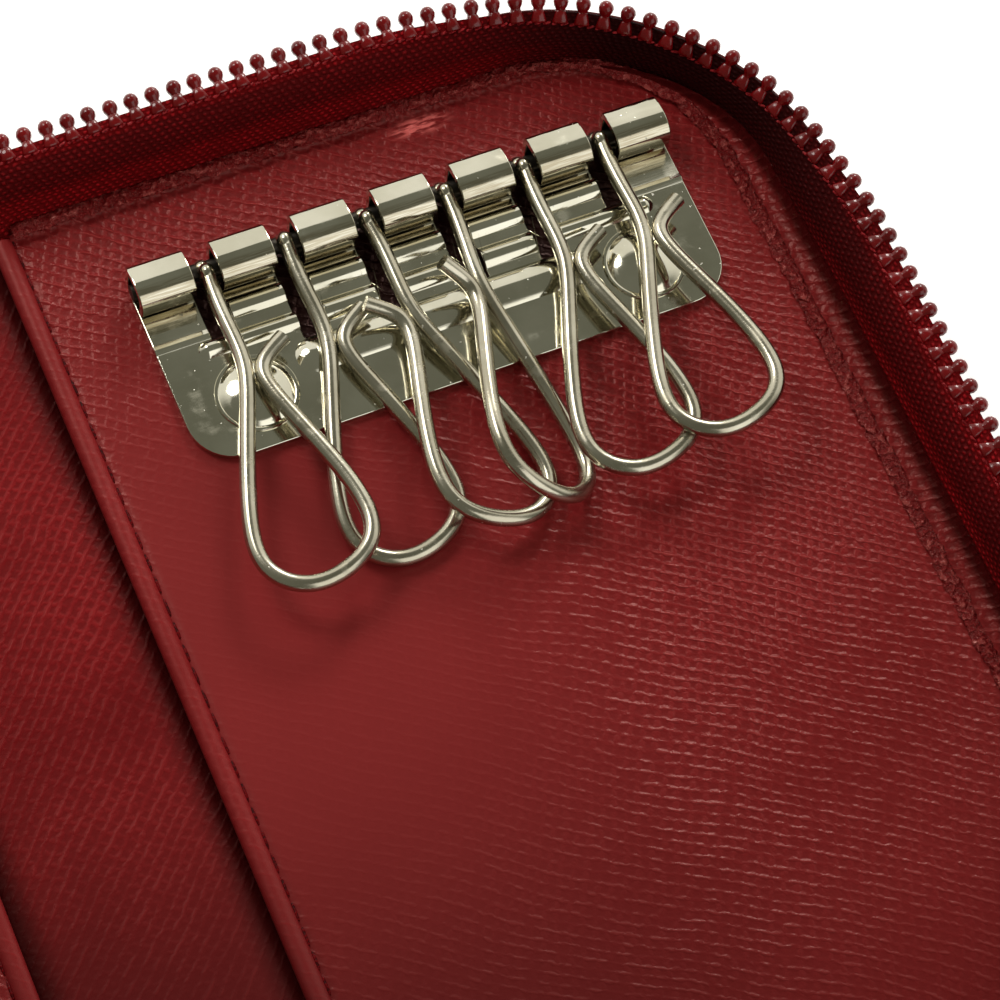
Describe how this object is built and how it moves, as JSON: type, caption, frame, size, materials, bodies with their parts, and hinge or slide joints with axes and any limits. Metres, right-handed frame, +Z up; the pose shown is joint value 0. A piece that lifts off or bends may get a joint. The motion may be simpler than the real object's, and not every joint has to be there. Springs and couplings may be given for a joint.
{
  "type": "key case",
  "caption": "Zip-around leather key case lying open, with a folding spine, a toothed zip round both halves and a row of hinged spring key hooks on a riveted plate.",
  "frame": {"origin": "middle of the spine on its underside, on the surface that the open case lies on", "axes": "+X across the case to the half with the key plate, +Y along the spine to the hinge rod's end, +Z up out of the lining"},
  "size_m": [0.199, 0.1549, 0.0108],
  "materials": {
    "red_leather": "cross-hatch embossed red leather, satin",
    "backing_board": "plain stiffening sheet, hidden between the leathers",
    "zip_tape": "dark red woven tape",
    "enamelled_teeth": "glossy red enamel on metal",
    "nickel_plate": "bright warm nickel",
    "spring_wire": "nickel-plated spring wire, slightly worn"
  },
  "bodies": {
    "spine": {"outer_spine": "red_leather", "spine_board": "backing_board", "spine_lining": "red_leather", "zip_tail_tape": "zip_tape", "zip_tail_teeth": "enamelled_teeth", "zip_bottom_stop": "enamelled_teeth", "zip_end_tab": "red_leather", "zip_slider": "nickel_plate"},
    "right_half": {"outer_cover_right": "red_leather", "backing_board_right": "backing_board", "lining_panel_right": "red_leather", "zip_tape_right": "zip_tape", "zip_teeth_right": "enamelled_teeth", "zip_top_stop_right": "enamelled_teeth", "key_plate": "nickel_plate", "hinge_rod": "nickel_plate", "plate_rivets": "nickel_plate"},
    "left_half": {"outer_cover_left": "red_leather", "backing_board_left": "backing_board", "lining_panel_left": "red_leather", "zip_tape_left": "zip_tape", "zip_teeth_left": "enamelled_teeth", "zip_top_stop_left": "enamelled_teeth"},
    "zip_pull": {"zip_pull": "nickel_plate"},
    "hook_1": {"key_hook_1": "spring_wire"},
    "hook_2": {"key_hook_2": "spring_wire"},
    "hook_3": {"key_hook_3": "spring_wire"},
    "hook_4": {"key_hook_4": "spring_wire"},
    "hook_5": {"key_hook_5": "spring_wire"},
    "hook_6": {"key_hook_6": "spring_wire"}
  },
  "joints": [
    {"name": "fold_right", "type": "hinge", "parent": "spine", "child": "right_half", "pos_m": [0.00975, 0, 0.0012], "axis": [0, -1, 0], "range_deg": [0, 90]},
    {"name": "fold_left", "type": "hinge", "parent": "spine", "child": "left_half", "pos_m": [-0.00975, 0, 0.0012], "axis": [0, 1, 0], "range_deg": [0, 90]},
    {"name": "pull_swing", "type": "hinge", "parent": "spine", "child": "zip_pull", "pos_m": [0, -0.06925, 0.0057], "axis": [1, 0, 0], "range_deg": [-120, 0]},
    {"name": "hook_1_swing", "type": "hinge", "parent": "right_half", "child": "hook_1", "pos_m": [0.0305, 0.0458, 0.0047], "axis": [1, 0, 0], "range_deg": [-130, 0]},
    {"name": "hook_2_swing", "type": "hinge", "parent": "right_half", "child": "hook_2", "pos_m": [0.0395, 0.0458, 0.0047], "axis": [1, 0, 0], "range_deg": [-130, 0]},
    {"name": "hook_3_swing", "type": "hinge", "parent": "right_half", "child": "hook_3", "pos_m": [0.0485, 0.0458, 0.0047], "axis": [1, 0, 0], "range_deg": [-130, 0]},
    {"name": "hook_4_swing", "type": "hinge", "parent": "right_half", "child": "hook_4", "pos_m": [0.0575, 0.0458, 0.0047], "axis": [1, 0, 0], "range_deg": [-130, 0]},
    {"name": "hook_5_swing", "type": "hinge", "parent": "right_half", "child": "hook_5", "pos_m": [0.0665, 0.0458, 0.0047], "axis": [1, 0, 0], "range_deg": [-130, 0]},
    {"name": "hook_6_swing", "type": "hinge", "parent": "right_half", "child": "hook_6", "pos_m": [0.0755, 0.0458, 0.0047], "axis": [1, 0, 0], "range_deg": [-130, 0]}
  ]
}
